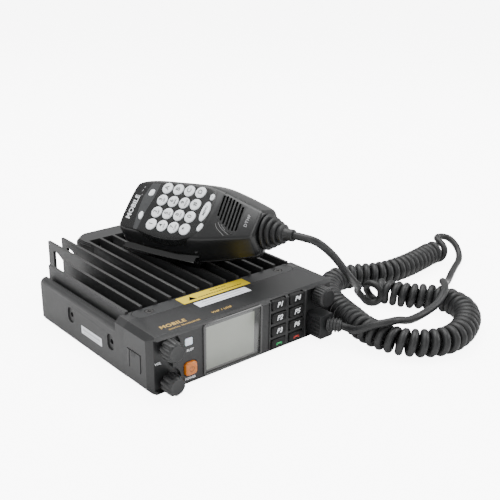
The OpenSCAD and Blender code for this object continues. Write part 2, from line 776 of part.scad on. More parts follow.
module cord_lead_mic() {
    color(cord_black) tube(lead_a, cord_r, 10);
}

module cord_coil() {
    color(cord_black) tube(coil, coil_r, 12);
}

module cord_lead_plug() {
    color(cord_black) tube(lead_b, cord_r, 10);
}

chassis();
bottom_cover();
front_panel();
panel_strip();
case_screws();
display_lens();
lcd_module();
indicator_lens();
power_button();
knob(knob_x, knob_z[0], knob_r, 9, 1.6);  // knob_upper
knob(knob_x, knob_z[1], knob_r, 9, 1.6);  // knob_lower
knob(dial_x, dial_z, dial_r, 24, 0.5);  // knob_right
control_board();
main_board();
fan_frame();
fan_rotor();
antenna_socket();
dc_inlet();
speaker();
release_latch();
for (i = [0 : 7]) front_key(i);
mic_front();
mic_back();
ptt_bar();
mic_boot();
hang_stud();
mic_screws();
mic_board();
for (i = [0 : 15]) dial_key(i);
for (k = side_keys) side_key(k);
mic_plug();
cord_lead_mic();
cord_coil();
cord_lead_plug();
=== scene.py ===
"""Looks for a mobile radio, its keypad hand microphone and its curly cord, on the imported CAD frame."""

import math

import bmesh
import bpy
from mathutils import Matrix, Vector


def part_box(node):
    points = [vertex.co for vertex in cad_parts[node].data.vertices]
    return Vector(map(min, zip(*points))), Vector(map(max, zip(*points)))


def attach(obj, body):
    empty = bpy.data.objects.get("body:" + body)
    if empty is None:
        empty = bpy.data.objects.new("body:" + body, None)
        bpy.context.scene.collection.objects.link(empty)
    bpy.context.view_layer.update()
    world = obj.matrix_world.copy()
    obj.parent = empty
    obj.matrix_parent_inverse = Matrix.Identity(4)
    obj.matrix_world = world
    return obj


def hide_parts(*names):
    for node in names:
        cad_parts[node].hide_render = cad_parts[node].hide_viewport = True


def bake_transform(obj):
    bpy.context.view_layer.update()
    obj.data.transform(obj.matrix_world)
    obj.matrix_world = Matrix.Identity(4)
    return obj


MM = 0.001
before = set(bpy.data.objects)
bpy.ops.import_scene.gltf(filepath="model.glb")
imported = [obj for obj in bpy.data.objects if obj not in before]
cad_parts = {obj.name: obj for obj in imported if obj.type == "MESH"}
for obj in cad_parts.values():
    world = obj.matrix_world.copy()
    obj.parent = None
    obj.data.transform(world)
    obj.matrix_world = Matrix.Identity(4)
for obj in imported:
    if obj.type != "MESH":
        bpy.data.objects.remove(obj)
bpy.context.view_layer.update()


# ---- Shader maths ----

class Wire:
    """A socket in a material, with Math nodes behind its operators."""

    def __init__(self, material, socket):
        self.material = material
        self.socket = socket

    def maths(self, operation, *values):
        """A Math node over wires and numbers."""
        return self.material.node("ShaderNodeMath", {"operation": operation}, dict(enumerate(values)))

    def __add__(self, other):
        return self.maths("ADD", self, other)

    def __sub__(self, other):
        return self.maths("SUBTRACT", self, other)

    def __mul__(self, other):
        return self.maths("MULTIPLY", self, other)

    def __truediv__(self, other):
        return self.maths("DIVIDE", self, other)

    def __gt__(self, other):
        return self.maths("GREATER_THAN", self, other)

    def __lt__(self, other):
        return self.maths("LESS_THAN", self, other)

    def __mod__(self, other):
        return self.maths("FLOORED_MODULO", self, other)

    __radd__ = __add__
    __rmul__ = __mul__

    def clamp(self):
        """Held between 0 and 1."""
        return self.maths("MAXIMUM", self.maths("MINIMUM", self, 1.0), 0.0)


class Finish:
    """A material made from one Principled shader."""

    def __init__(self, name, **constants):
        self.material = bpy.data.materials.new(name)
        self.material.use_nodes = True
        self.tree = self.material.node_tree
        self.shader = self.tree.nodes["Principled BSDF"]
        for socket, value in constants.items():
            self.shader.inputs[socket.replace("_", " ")].default_value = value
        self.place = self.node("ShaderNodeTexCoord", {}, {}, "Object")

    def node(self, kind, settings, values, output=0):
        """A new node, with its settings and its inputs, as the wire from one of its outputs."""
        made = self.tree.nodes.new(kind)
        for name, value in settings.items():
            setattr(made, name, value)
        for socket, value in values.items():
            if isinstance(value, Wire):
                self.tree.links.new(value.socket, made.inputs[socket])
            else:
                made.inputs[socket].default_value = value
        return Wire(self, made.outputs[output])

    def feed(self, **links):
        """Joins wires to the shader's own sockets."""
        for socket, wire in links.items():
            self.tree.links.new(wire.socket, self.shader.inputs[socket.replace("_", " ")])

    def noise(self, size, detail=3.0, roughness=0.55):
        """Noise whose features are about size metres across, as a number round 0.5."""
        return self.node("ShaderNodeTexNoise", {}, {
            "Vector": self.place, "Scale": 1 / size, "Detail": detail, "Roughness": roughness})

    def mix(self, factor, a, b):
        """A colour between two others."""
        return self.node("ShaderNodeMix", {"data_type": "RGBA"}, {"Factor": factor, 6: a, 7: b}, 2)

    def bump(self, height, depth, strength):
        """Fine relief, depth metres high."""
        self.feed(Normal=self.node("ShaderNodeBump", {}, {
            "Height": height, "Distance": depth, "Strength": strength}))

    def axis(self, name):
        """One of the place's coordinates, in metres."""
        return self.node("ShaderNodeSeparateXYZ", {}, {"Vector": self.place}, name)


def thin_lines(at, pitch, width):
    """1 on thin lines a pitch apart."""
    return (at / pitch % 1.0) < width


def inside(at, low, high):
    """1 between two values."""
    return (at > low) * (at < high)


def grey(value, tint=0.0):
    """A grey, a little towards blue for a tint above 0."""
    return (value * (1 - tint), value, value * (1 + tint), 1.0)


def moulded(name, tone, rough, grain=0.25 * MM, depth=0.02 * MM, tint=0.04, shine=0.4):
    """Plastic from a spark-eroded mould: fine grain, and a slow change of tone and gloss."""
    skin = Finish(name, Specular_IOR_Level=shine)
    slow = skin.noise(18 * MM, 4.0)
    fine = skin.noise(grain, 2.0, 0.6)
    skin.feed(Base_Color=skin.mix(slow, grey(tone * 0.8, tint), grey(tone * 1.25, tint)))
    skin.feed(Roughness=(rough - 0.08 + 0.1 * slow + 0.08 * fine).clamp())
    skin.bump(fine, depth, 0.6)
    return skin.material


def painted_casting():
    """Black paint on the die casting, thin and greyer where the metal's skin is rough."""
    skin = Finish("painted_casting", Specular_IOR_Level=0.5)
    slow = skin.noise(25 * MM, 5.0)
    speck = skin.noise(0.5 * MM, 3.0, 0.65)
    dust = (skin.noise(6 * MM, 6.0, 0.7) - 0.5) * 2.2
    share = (0.35 + dust * 0.4 + slow * 0.3).clamp()
    skin.feed(Base_Color=skin.mix(share, grey(0.007, 0.03), grey(0.018, 0.02)))
    skin.feed(Roughness=(0.4 + 0.14 * slow + 0.08 * speck).clamp())
    skin.bump(speck, 0.05 * MM, 0.7)
    return skin.material


def metal(name, tone, rough, grain=0.3 * MM, tint=-0.02):
    """Bare or plated metal with a little wear."""
    skin = Finish(name, Metallic=1.0)
    wear = skin.noise(grain, 3.0)
    slow = skin.noise(4 * MM, 3.0)
    skin.feed(Base_Color=skin.mix(slow, grey(tone * 0.8, tint), grey(min(1.0, tone * 1.1), tint)))
    skin.feed(Roughness=(rough - 0.06 + 0.12 * wear).clamp())
    skin.bump(wear, 0.01 * MM, 0.4)
    return skin.material


def cord_jacket():
    """Soft polyurethane jacket: satin, with faint bloom and scuffs."""
    skin = Finish("cord_jacket", Specular_IOR_Level=0.35)
    bloom = skin.noise(7 * MM, 4.0)
    scuff = skin.noise(0.6 * MM, 3.0, 0.6)
    skin.feed(Base_Color=skin.mix(bloom, grey(0.008, 0.03), grey(0.015, 0.03)))
    skin.feed(Roughness=(0.36 + 0.16 * bloom + 0.06 * scuff).clamp())
    skin.bump(scuff, 0.02 * MM, 0.4)
    return skin.material


def ink(name, colour, rough=0.5):
    """Printing ink, a little uneven."""
    skin = Finish(name)
    patch = skin.noise(0.8 * MM, 3.0)
    dark = tuple(channel * 0.86 for channel in colour[:3]) + (1.0,)
    skin.feed(Base_Color=skin.mix(patch, dark, colour))
    skin.feed(Roughness=(rough - 0.05 + 0.1 * patch).clamp())
    return skin.material


def gloss(name, tone, rough, tint=0.03, coat=0.6):
    """Polished black plastic with a lacquer-like skin and faint handling marks."""
    skin = Finish(name, Specular_IOR_Level=0.5, Coat_Weight=coat, Coat_Roughness=0.08)
    slow = skin.noise(15 * MM, 4.0)
    smear = skin.noise(3 * MM, 5.0, 0.65)
    skin.feed(Base_Color=skin.mix(slow, grey(tone * 0.8, tint), grey(tone * 1.2, tint)))
    skin.feed(Roughness=(rough - 0.05 + 0.12 * smear).clamp())
    return skin.material


def display_pane():
    """Clear pane over a grey-green reflective display, with a darker printed strip at its right; both carry
    painted light, lighter towards the top.
    """
    skin = Finish("display_pane", Specular_IOR_Level=0.5, Coat_Weight=1.0, Coat_Roughness=0.03)
    x = skin.axis("X")
    z = skin.axis("Z")
    slow = skin.noise(30 * MM, 2.0)
    # Painted light: the display field grows lighter towards the top, from its height alone.
    rise = ((z - 0.004) / 0.03).clamp()
    field = skin.mix((0.15 + 0.6 * rise + 0.25 * slow).clamp(), (0.13, 0.14, 0.12, 1), (0.24, 0.255, 0.22, 1))
    grid_x = thin_lines(x, 0.9 * MM, 0.1)
    grid_z = thin_lines(z, 0.9 * MM, 0.1)
    dots = ((grid_x + grid_z) * 0.12).clamp()
    field = skin.mix(dots, field, (0.11, 0.12, 0.1, 1))
    edge = (inside(x, -33.4 * MM, 2.4 * MM) * inside(z, 4.6 * MM, 31.6 * MM)).clamp()
    # Painted light: the printed strip is also painted lighter towards the top.
    strip = skin.mix(rise, (0.03, 0.031, 0.03, 1), (0.05, 0.052, 0.05, 1))
    skin.feed(Base_Color=skin.mix(edge, strip, field))
    skin.feed(Roughness=(0.2 + 0.12 * slow).clamp())
    return skin.material


def lamp_skin(name, low, high, rough):
    """Milky translucent plastic."""
    skin = Finish(
        name, Specular_IOR_Level=0.5, Subsurface_Weight=0.25, Subsurface_Scale=0.002, Coat_Weight=0.3)
    slow = skin.noise(3 * MM, 3.0)
    skin.feed(Base_Color=skin.mix(slow, low, high))
    skin.feed(Roughness=(rough - 0.05 + 0.1 * slow).clamp())
    return skin.material


casting = painted_casting()
panel_skin = moulded("panel_skin", 0.011, 0.4)
strip_skin = moulded("strip_skin", 0.016, 0.3, 0.2 * MM, 0.01 * MM)
rim_skin = gloss("display_rim", 0.008, 0.2)
pane_skin = display_pane()
mic_skin = moulded("mic_skin", 0.006, 0.3, 0.3 * MM, 0.015 * MM)
bib_skin = moulded("bib_skin", 0.005, 0.26, 0.35 * MM, 0.01 * MM)
band_skin = moulded("band_skin", 0.03, 0.35, 0.3 * MM, 0.01 * MM)
talk_skin = gloss("talk_skin", 0.004, 0.14, coat=0.0)
knob_skin = moulded("knob_rubber", 0.01, 0.42, 0.2 * MM)
key_skin = moulded("key_rubber", 0.004, 0.5, 0.2 * MM, shine=0.25)
dial_skin = moulded("dial_key", 0.72, 0.4, 0.4 * MM, 0.008 * MM, 0.03)
cover_skin = moulded("cover_paint", 0.02, 0.45, 0.6 * MM)
plug_skin = moulded("plug_skin", 0.014, 0.42, 0.3 * MM)
fan_skin = moulded("fan_skin", 0.01, 0.4)
inlet_skin = moulded("inlet_skin", 0.015, 0.45)
lcd_skin = moulded("lcd_skin", 0.3, 0.3)
board_skin = moulded("board_mask", 0.015, 0.35)
jacket = cord_jacket()
indicator_skin = lamp_skin("indicator_skin", (0.55, 0.62, 0.7, 1), (0.7, 0.78, 0.86, 1), 0.25)
amber_skin = lamp_skin("amber_skin", (0.42, 0.11, 0.0, 1), (0.5, 0.135, 0.0, 1), 0.4)
nickel = metal("nickel", 0.72, 0.24)
steel = metal("steel", 0.5, 0.32)
black_screw = metal("black_zinc", 0.08, 0.35)
white_ink = ink("white_ink", (0.78, 0.8, 0.82, 1.0))
black_ink = ink("black_ink", (0.012, 0.012, 0.013, 1.0))
grey_ink = ink("grey_ink", (0.25, 0.25, 0.26, 1.0))
silver_ink = ink("silver_ink", (0.62, 0.63, 0.65, 1.0), 0.35)
paper = ink("paper", (0.74, 0.76, 0.8, 1.0), 0.45)
yellow_ink = ink("yellow_foil", (0.62, 0.46, 0.0, 1.0), 0.5)
gold_ink = ink("gold_ink", (0.5, 0.32, 0.08, 1.0), 0.35)
green_ink = ink("green_ink", (0.02, 0.42, 0.12, 1.0))
red_ink = ink("red_ink", (0.55, 0.04, 0.03, 1.0))
deep_amber_ink = ink("amber_mark", (0.16, 0.05, 0.01, 1.0))


# ---- Camera ----

VIEW_FROM = Vector((-287.6, -420.4, 238.3)) * MM
VIEW_TURN = math.radians(-40.49)
VIEW_DROP = math.radians(20.8)
VIEW_ROLL = math.radians(0.72)

camera = bpy.data.objects.new("camera", bpy.data.cameras.new("camera"))
bpy.context.collection.objects.link(camera)
camera.data.sensor_width = 36
camera.data.lens = 59.41
camera.data.clip_start = 0.01
camera.matrix_world = (
    Matrix.Translation(VIEW_FROM)
    @ Matrix.Rotation(VIEW_TURN, 4, "Z")
    @ Matrix.Rotation(math.pi / 2 - VIEW_DROP, 4, "X")
    @ Matrix.Rotation(VIEW_ROLL, 4, "Z")
)
bpy.context.scene.camera = camera


# ---- Making pieces ----

# The microphone's own frame: X towards its cord, Y across, Z out of the keypad.
MIC = (
    Matrix.Translation(Vector((9.8, 3.0, 71.0)) * MM)
    @ Matrix.Rotation(math.radians(-74), 4, "Z")
    @ Matrix.Rotation(math.radians(-4), 4, "Y")
    @ Matrix.Rotation(math.radians(45), 4, "X")
)
# Lettering on the microphone reads across it, with its top away from the cord.
MIC_TEXT = MIC @ Matrix.Rotation(math.radians(90), 4, "Z")
# The front face: X to the right, Y up, Z out of the face.
FRONT_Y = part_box("front_panel")[0].y / MM
FRONT = Matrix.Translation((0, FRONT_Y * MM, 0)) @ Matrix.Rotation(math.radians(90), 4, "X")
TOP_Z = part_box("front_panel")[1].z / MM
# The left wall: X towards the front, Y up, Z out of the wall.
LEFT_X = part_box("chassis")[0].x / MM
LEFT = (
    Matrix.Translation((LEFT_X * MM, 0, 0))
    @ Matrix.Rotation(math.radians(-90), 4, "Z")
    @ Matrix.Rotation(math.radians(90), 4, "X")
)
FLAT = Matrix.Identity(4)


def mic_place(along, across, out):
    """A point of the microphone's own frame, in millimetres, as a place in metres."""
    return MIC @ (Vector((along, across, out)) * MM)


# Edges that turn more than this stay sharp.
SHARP = 35


def show(shape, name, body, skin, place=FLAT, node=None, bevel=0.0):
    """Makes an object of a bmesh in millimetres. It rides on a body and may stand for a CAD node."""
    mesh = bpy.data.meshes.new(name)
    bmesh.ops.transform(shape, matrix=place @ Matrix.Scale(MM, 4), verts=shape.verts)
    shape.to_mesh(mesh)
    shape.free()
    return dress(mesh, name, body, skin, node, bevel=bevel)


def dress(mesh, name, body, skin, node=None, smooth=True, bevel=0.0, flat_angle=SHARP):
    """Makes an object of a mesh in metres, with its finish, its body and the CAD node it stands for."""
    piece = bpy.data.objects.new(name, mesh)
    bpy.context.collection.objects.link(piece)
    mesh.materials.clear()
    mesh.materials.append(skin)
    if smooth:
        mesh.shade_smooth()
        mesh.set_sharp_from_angle(angle=math.radians(flat_angle))
    if bevel:
        edge = piece.modifiers.new("edge", "BEVEL")
        edge.width = bevel * MM
        edge.segments = 2
        edge.limit_method = "ANGLE"
        edge.angle_limit = math.radians(flat_angle)
        edge.harden_normals = True
    if body:
        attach(piece, body)
    if node:
        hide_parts(node)
    return piece


def final_mesh(thing):
    """The mesh an object comes out as."""
    return bpy.data.meshes.new_from_object(thing.evaluated_get(bpy.context.evaluated_depsgraph_get()))


def drawn(curve, name):
    """The mesh a curve or a text comes out as."""
    holder = bpy.data.objects.new(name + "_line", curve)
    bpy.context.collection.objects.link(holder)
    mesh = final_mesh(holder)
    bpy.data.objects.remove(holder)
    return mesh


def paint(nodes, skin):
    """Gives CAD nodes their finish."""
    for node in nodes:
        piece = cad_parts[node]
        piece.data.materials.clear()
        piece.data.materials.append(skin)


def softened(node, width, body, skin):
    """The CAD node's own shape with its edges rounded over."""
    shape = bmesh.new()
    shape.from_mesh(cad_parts[node].data)
    bmesh.ops.remove_doubles(shape, verts=shape.verts, dist=0.002 * MM)
    bmesh.ops.dissolve_limit(shape, angle_limit=math.radians(1.5), verts=shape.verts, edges=shape.edges)
    bmesh.ops.scale(shape, vec=(1 / MM,) * 3, verts=shape.verts)
    return show(shape, node + "_soft", body, skin, node=node, bevel=width)


def between_four(a, b, c, d, t):
    """A smooth curve from b to c, at t from 0 to 1, with a before it and d after it."""
    return 0.5 * (
        2 * b + t * (c - a) + t * t * (2 * a - 5 * b + 4 * c - d) + t ** 3 * (3 * b - a - 3 * c + d))


def closed_curve(points, per=6):
    """A smooth closed outline through the given corners."""
    line = []
    count = len(points)
    for i in range(count):
        four = [Vector(points[(i + k) % count]) for k in (-1, 0, 1, 2)]
        line += [between_four(*four, k / per) for k in range(per)]
    return line


def rounded(w, h, r, per=5):
    """A rectangle with round corners, centred."""
    line = []
    for x, y, start in ((1, 1, 0), (-1, 1, 90), (-1, -1, 180), (1, -1, 270)):
        for k in range(per + 1):
            a = math.radians(start + 90 * k / per)
            line.append(Vector((x * (w / 2 - r) + r * math.cos(a), y * (h / 2 - r) + r * math.sin(a))))
    return line


def inset(outline, depth):
    """The outline moved inwards."""
    count = len(outline)
    area = sum(a.x * b.y - a.y * b.x for a, b in zip(outline, outline[1:] + outline[:1]))
    turn = 1 if area > 0 else -1
    moved = []
    for i in range(count):
        along = (outline[(i + 1) % count] - outline[i - 1]).normalized()
        moved.append(outline[i] + turn * depth * Vector((-along.y, along.x)))
    return moved


def loft(levels, bottom=True, top=True):
    """A skin over outlines, each given with its height, from the lowest to the highest."""
    shape = bmesh.new()
    rings = []
    for outline, height in levels:
        ring = [shape.verts.new((p.x, p.y, height)) for p in outline]
        rings.append([shape.edges.new((a, b)) for a, b in zip(ring, ring[1:] + ring[:1])])
    for low, high in zip(rings, rings[1:]):
        bmesh.ops.bridge_loops(shape, edges=low + high)
    if bottom:
        bmesh.ops.contextual_create(shape, geom=rings[0])
    if top:
        bmesh.ops.contextual_create(shape, geom=rings[-1])
    bmesh.ops.recalc_face_normals(shape, faces=shape.faces)
    return shape


def plate(outline, low, high):
    """A plate with square edges."""
    return loft([(outline, low), (outline, high)])


def slab(outline, low, high, edge=0.3):
    """A plate with a rounded upper edge."""
    return loft([
        (outline, low), (outline, high - edge), (inset(outline, edge * 0.3), high - edge * 0.3),
        (inset(outline, edge), high)])


def revolve(profile, steps=48):
    """A turned shape about Z, from radius and height pairs. It closes where the radius is 0."""
    shape = bmesh.new()
    line = [shape.verts.new((r, 0, z)) for r, z in profile]
    edges = [shape.edges.new((a, b)) for a, b in zip(line, line[1:])]
    bmesh.ops.spin(
        shape, geom=line + edges, cent=(0, 0, 0), axis=(0, 0, 1), angle=math.tau, steps=steps, use_merge=True)
    bmesh.ops.remove_doubles(shape, verts=shape.verts, dist=0.001)
    bmesh.ops.recalc_face_normals(shape, faces=shape.faces)
    return shape


def joined(shapes):
    """Several shapes as one."""
    whole = bmesh.new()
    for shape in shapes:
        part = bpy.data.meshes.new("part")
        shape.to_mesh(part)
        shape.free()
        whole.from_mesh(part)
        bpy.data.meshes.remove(part)
    return whole


def moved(shape, x=0.0, y=0.0, z=0.0, turn=0.0):
    """The shape turned about Z by degrees and then shifted."""
    matrix = Matrix.Translation((x, y, z)) @ Matrix.Rotation(math.radians(turn), 4, "Z")
    bmesh.ops.transform(shape, matrix=matrix, verts=shape.verts)
    return shape


def carved(piece, cutter_shape, place=FLAT):
    """Cuts the cutter's space out of a piece, for good.

    Wide faces are parted first, so that holes stay clean.
    """
    parted = bmesh.new()
    parted.from_mesh(piece.data)
    bmesh.ops.triangulate(parted, faces=[face for face in parted.faces if len(face.verts) > 4])
    parted.to_mesh(piece.data)
    parted.free()
    cutter_mesh = bpy.data.meshes.new("cutter")
    bmesh.ops.transform(cutter_shape, matrix=place @ Matrix.Scale(MM, 4), verts=cutter_shape.verts)
    cutter_shape.to_mesh(cutter_mesh)
    cutter_shape.free()
    cutter = bpy.data.objects.new("cutter", cutter_mesh)
    bpy.context.collection.objects.link(cutter)
    cut = piece.modifiers.new("cut", "BOOLEAN")
    cut.operation = "DIFFERENCE"
    cut.solver = "EXACT"
    cut.object = cutter
    mesh = final_mesh(piece)
    piece.modifiers.remove(cut)
    bpy.data.objects.remove(cutter)
    piece.data = mesh
    mesh.shade_smooth()
    mesh.set_sharp_from_angle(angle=math.radians(SHARP))
    return piece


def letters(text, size, name, body, skin, place, x, y, z, slant=0.0, weight=0.0, spacing=1.0):
    """Printed letters, centred at x and y."""
    curve = bpy.data.curves.new(name, "FONT")
    curve.body = text
    curve.size = size * MM
    curve.align_x = "CENTER"
    curve.align_y = "CENTER"
    curve.shear = slant
    curve.offset = weight * MM
    curve.space_character = spacing
    curve.resolution_u = 3
    curve.extrude = 0.015 * MM
    mesh = drawn(curve, name)
    mesh.transform(place @ Matrix.Translation((x * MM, y * MM, z * MM)))
    return dress(mesh, name, body, skin, smooth=False)


def strokes(bars, thick=0.03):
    """Flat printed bars, each x, y, width, height and turn."""
    return joined([
        moved(plate(rounded(w, h, min(w, h) * 0.3, 2), 0, thick), x, y, 0, turn)
        for x, y, w, h, turn in bars])


# ---- The cord ----

CORD_R = 2.5 * MM
TURN_R = 6.4 * MM
# The first turn starts low on its left side, and faces the view as a ring.
RING_START = math.radians(-62)
# The bend at a point is measured this many points to each side of it.
BEND_REACH = 12
# Turns lie this much of a cord's thickness apart, and never closer than the share below on a bend.
TURN_PITCH = 2 * CORD_R * 1.03
CLOSEST = 0.74
# The last turns open by a share, over this many points of the axis.
OPENS_BY = 0.75
OPENS_OVER = 60
LEAD_FROM_MIC = [
    tuple(mic_place(85.3, -1, -12)), tuple(mic_place(90, -1, -12.5)), (0.048, -0.090, 0.0655),
    (0.060, -0.092, 0.055), (0.0715, -0.093, 0.0415), (0.0825, -0.089, 0.0315), (0.0928, -0.0834, 0.024),
    (0.102, -0.0775, 0.0182)]
COIL = [
    (0.1142, -0.0797, 0.009), (0.1188, -0.0767, 0.009), (0.1242, -0.0792, 0.009), (0.1282, -0.088, 0.009),
    (0.134, -0.0975, 0.009), (0.142, -0.1065, 0.009), (0.1475, -0.1175, 0.009), (0.145, -0.1315, 0.009),
    (0.136, -0.1425, 0.009), (0.122, -0.1505, 0.009), (0.108, -0.1545, 0.009), (0.095, -0.154, 0.009),
    (0.083, -0.1475, 0.009), (0.0745, -0.137, 0.009), (0.071, -0.124, 0.009), (0.0715, -0.111, 0.009),
    (0.0755, -0.0975, 0.009), (0.080, -0.083, 0.009), (0.085, -0.070, 0.009), (0.093, -0.0585, 0.009),
    (0.104, -0.0495, 0.009), (0.117, -0.0455, 0.009), (0.130, -0.049, 0.009), (0.142, -0.0555, 0.009),
    (0.155, -0.059, 0.009), (0.169, -0.0595, 0.009), (0.183, -0.0585, 0.009), (0.197, -0.0565, 0.009),
    (0.210, -0.0545, 0.009), (0.223, -0.055, 0.009)]
LEAD_TO_PLUG = [
    (0.2325, -0.0462, 0.0158), (0.2375, -0.0505, 0.0142), (0.2375, -0.0575, 0.0105), (0.2345, -0.0635, 0.006),
    (0.227, -0.069, 0.0034), (0.215, -0.0745, 0.0028), (0.202, -0.081, 0.0028), (0.188, -0.0885, 0.003),
    (0.176, -0.095, 0.0065), (0.163, -0.102, 0.013), (0.152, -0.1095, 0.0188), (0.143, -0.118, 0.0208),
    (0.133, -0.1245, 0.020), (0.122, -0.128, 0.0172), (0.110, -0.129, 0.0152), (0.098, -0.130, 0.015),
    (0.087, -0.1325, 0.0175), (0.077, -0.133, 0.0208), (0.0695, -0.131, 0.0208), (0.064, -0.125, 0.0185),
    (0.060, -0.117, 0.0135), (0.061, -0.109, 0.0108), (0.06003, -0.10256, 0.0106)]


def smooth_line(points, step):
    """Points about step apart on a smooth curve through the given ones."""
    line = []
    for i in range(len(points) - 1):
        four = [Vector(points[min(max(k, 0), len(points) - 1)]) for k in (i - 1, i, i + 1, i + 2)]
        count = max(1, round((four[2] - four[1]).length / step))
        line += [between_four(*four, k / count) for k in range(count)]
    line.append(Vector(points[-1]))
    return line


def evenly(line, step):
    """The same line with its points the same step apart."""
    spaced = [line[0]]
    for point in line[1:]:
        while (point - spaced[-1]).length >= step:
            spaced.append(spaced[-1] + (point - spaced[-1]).normalized() * step)
    return spaced


def curly_turns(axis):
    """The cord's helix round an axis line, and its number of turns.

    Turns lie side by side, and open a little on bends and at the end.
    """
    side = Vector((0, 0, -1))
    phase = RING_START
    turns = []
    step = (axis[1] - axis[0]).length
    for i in range(len(axis) - 1):
        before = max(0, i - BEND_REACH)
        after = min(len(axis) - 1, i + BEND_REACH)
        along = (axis[after] - axis[before]).normalized()
        first = (axis[i] - axis[before]).normalized() if i > before else along
        then = (axis[after] - axis[i]).normalized()
        bend = (then - first).length / ((after - before) / 2 * step)
        spread = 1 + OPENS_BY * max(0.0, 1 - (len(axis) - 1 - i) / OPENS_OVER)
        pitch = TURN_PITCH * spread / max(CLOSEST, 1 - 0.75 * TURN_R * bend)
        side = (side - side.dot(along) * along).normalized()
        other = side.cross(along)
        turns.append(axis[i] + TURN_R * (math.cos(phase) * side + math.sin(phase) * other))
        phase += math.tau * step / pitch
    # The coil ends at the top of a turn.
    spare = (phase - math.pi) % math.tau
    count = round(spare / (math.tau * step / pitch))
    return turns[:len(turns) - count], (phase - spare - RING_START) / math.tau


coil_axis = evenly(smooth_line(COIL, 0.2 * MM), 0.3 * MM)
turns, turn_count = curly_turns(coil_axis)
JOIN = 7 * MM
enter = turns[0] - (turns[1] - turns[0]).normalized() * JOIN
leave = turns[-1] + (turns[-1] - turns[-2]).normalized() * JOIN
route = evenly(smooth_line(LEAD_FROM_MIC + [enter, turns[0], turns[0] * 2 - enter], 0.5 * MM), 1.5 * MM)
while (route[-1] - turns[0]).dot(enter - turns[0]) < JOIN * 0.5 * MM:
    route.pop()
tail = evenly(smooth_line([turns[-1] * 2 - leave, turns[-1], leave] + LEAD_TO_PLUG, 0.5 * MM), 1.5 * MM)
while (tail[0] - turns[-1]).dot(leave - turns[-1]) < JOIN * 0.5 * MM:
    tail.pop(0)
route += turns + tail + [Vector(LEAD_TO_PLUG[-1])]
cord_length = sum((b - a).length for a, b in zip(route, route[1:]))
print("cord", round(cord_length, 3), "turns", round(turn_count, 2), "points", len(route))


def swept(points, radius, name, resolution=3):
    """A round tube along points, with flat ends."""
    curve = bpy.data.curves.new(name, "CURVE")
    curve.dimensions = "3D"
    curve.bevel_depth = radius
    curve.bevel_resolution = resolution
    curve.use_fill_caps = True
    spline = curve.splines.new("POLY")
    spline.points.add(len(points) - 1)
    for point, place in zip(spline.points, points):
        point.co = (*place, 1)
    return drawn(curve, name)


cord = dress(swept(route, CORD_R, "curly_cord"), "curly_cord", None, jacket, flat_angle=60)
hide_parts("cord_lead_mic", "cord_coil", "cord_lead_plug")
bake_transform(cord)


# ---- Main unit ----

softened("chassis", 0.35, "unit", casting)
softened("panel_strip", 0.25, "unit", strip_skin)
softened("front_panel", 0.55, "unit", panel_skin)
softened("release_latch", 0.25, "release_latch", panel_skin)
softened("bottom_cover", 0.2, "unit", cover_skin)
plug = softened("mic_plug", 0.35, "unit", plug_skin)
softened("case_screws", 0.12, "unit", black_screw)
paint(["control_board", "main_board", "mic_board"], board_skin)
paint(["fan_frame", "fan_rotor", "speaker"], fan_skin)
paint(["dc_inlet"], inlet_skin)
paint(["mic_screws"], black_screw)
paint(["hang_stud"], steel)
paint(["lcd_module"], lcd_skin)

# Grip lines on the latch, and ribs each side of the keys.
LATCH_LINES = (64.7, 66.1, 67.5)
latch_face = LEFT @ Matrix.Translation((0, 0, 0.1 * MM))
grip = strokes([(x, 19.2, 0.45, 3.4, 0) for x in LATCH_LINES], 0.3)
show(grip, "latch_grip", "release_latch", panel_skin, latch_face)
KEY_RIBS = ((14.6, 0.9), (44.3, 1.9))
key_ribs = joined([moved(slab(rounded(w, 31.4, 0.3, 3), -0.6, 0.55, 0.25), x, 17.7) for x, w in KEY_RIBS])
show(key_ribs, "key_ribs", "unit", panel_skin, FRONT)


# ---- Front panel's controls ----

def fluted(radius, flutes, depth, sharp, per):
    """A knob's outline, with round flutes."""
    count = flutes * per
    line = []
    for i in range(count):
        a = math.tau * i / count
        valley = (0.5 + 0.5 * math.cos(flutes * a)) ** sharp
        r = radius - depth * valley
        line.append(Vector((r * math.cos(a), r * math.sin(a))))
    return line


def knob_shape(outline, face_r, length):
    """A knob from its outline: skirt, flutes, a chamfer that rounds them off, and a shallow dish."""
    ring = [p.normalized() * face_r for p in outline]

    def rim(share, less=0.0):
        """The outline drawn towards the round face by a share, and inwards by less."""
        return [p.lerp(q * (1 - less / face_r), share) for p, q in zip(outline, ring)]
    return loft([
        (rim(0.3), 0.3), (rim(0.0), 0.9), (rim(0.08), length - 1.7), (rim(0.35), length - 0.8),
        (rim(0.8), length - 0.2), (rim(1.0), length), (rim(1.0, 0.5), length - 0.02),
        (rim(1.0, 1.2), length - 0.2), (rim(1.0, 3.0), length - 0.3)])


def axis_of(node):
    """Where a control sits on the front face: across, up, and how far it stands out, in millimetres."""
    low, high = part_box(node)
    return (low.x + high.x) / 2 / MM, (low.z + high.z) / 2 / MM, (FRONT_Y * MM - low.y) / MM


BROAD_FLUTES = fluted(6.15, 10, 0.8, 2.0, 12)
FINE_FLUTES = fluted(6.6, 22, 0.42, 1.0, 8)
KNOBS = (
    ("knob_upper", BROAD_FLUTES, 4.7), ("knob_lower", BROAD_FLUTES, 4.7), ("knob_right", FINE_FLUTES, 5.3))
for node, flutes, face_r in KNOBS:
    x, z, length = axis_of(node)
    knob = moved(knob_shape(flutes, face_r, length), x, z)
    show(knob, node + "_cap", node, knob_skin, FRONT, node=node)

PLAIN_KEYS = ["key_p%d" % number for number in range(1, 7)]
CALL_INKS = {"key_call": green_ink, "key_end": red_ink}
